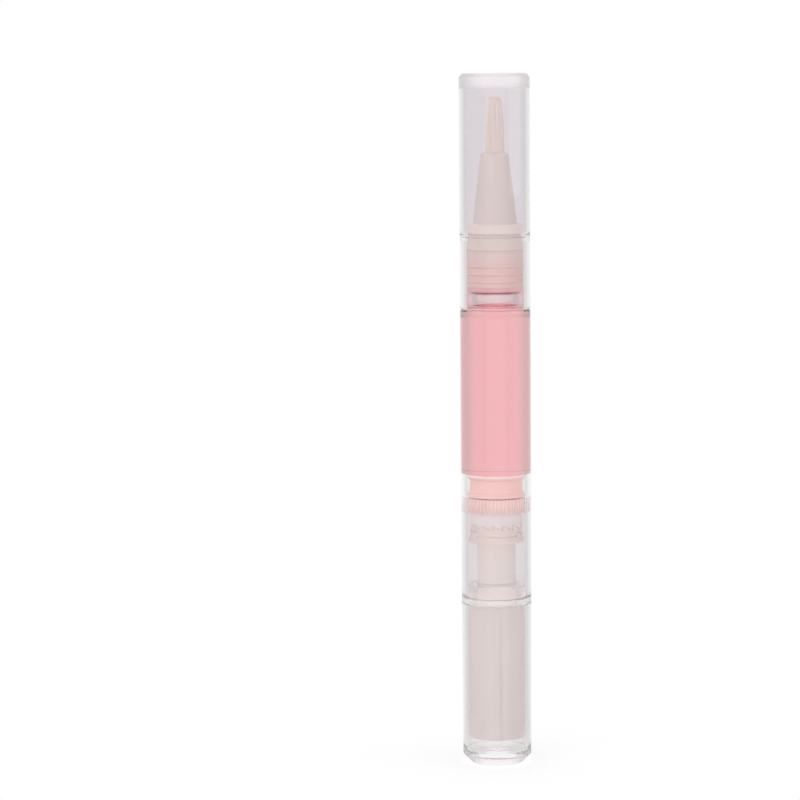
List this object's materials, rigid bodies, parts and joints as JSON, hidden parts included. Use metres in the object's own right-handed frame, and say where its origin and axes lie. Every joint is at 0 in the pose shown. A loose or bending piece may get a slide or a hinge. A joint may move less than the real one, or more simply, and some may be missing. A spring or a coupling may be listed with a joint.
{
  "type": "nail oil pen",
  "caption": "Slim clear twist-up pen with a brush under a lift-off cap: turning the foot knob drives a screw and piston that push oil into the bristles.",
  "frame": {"origin": "centre of the knob's flat foot, where the pen stands", "axes": "+Z along the pen's axis, from the foot to the cap's top; X and Y are free by symmetry"},
  "size_m": [0.0138, 0.0138, 0.136],
  "materials": {
    "clear_plastic": "clear polished moulding",
    "white_plastic": "white semi-matte moulding",
    "natural_plastic": "translucent unpigmented moulding",
    "nylon": "fine pale filaments",
    "oil": "clear pink liquid"
  },
  "bodies": {
    "barrel": {"barrel": "clear_plastic", "brush_holder": "white_plastic", "bristle_tuft": "nylon", "bristle_root": "nylon", "feed_tube": "natural_plastic", "oil_fill": "oil", "plug_oil": "oil", "screw_nut": "natural_plastic", "rear_collar": "natural_plastic"},
    "cap": {"cap": "clear_plastic"},
    "knob": {"knob_shell": "clear_plastic", "drive_sleeve": "white_plastic", "ratchet_spring": "natural_plastic"},
    "rod": {"screw_rod": "white_plastic"},
    "piston": {"piston": "natural_plastic"}
  },
  "joints": [
    {"name": "cap_pull", "type": "slide", "parent": "barrel", "child": "cap", "axis": [0, 0, 1], "range_m": [0, 0.05]},
    {"name": "knob_twist", "type": "hinge", "parent": "barrel", "child": "knob", "pos_m": [0, 0, 0.032], "axis": [0, 0, 1], "range_deg": [0, 3600], "deforming": ["ratchet_spring"]},
    {"name": "rod_feed", "type": "slide", "parent": "knob", "child": "rod", "axis": [0, 0, 1], "range_m": [0, 0.03]},
    {"name": "piston_feed", "type": "slide", "parent": "barrel", "child": "piston", "axis": [0, 0, 1], "range_m": [0, 0.03], "deforming": ["oil_fill"]}
  ],
  "couplings": [
    {"joint": "rod_feed", "follows": "knob_twist", "m_per_rad": 0.00047746},
    {"joint": "piston_feed", "follows": "knob_twist", "m_per_rad": 0.00047746}
  ]
}
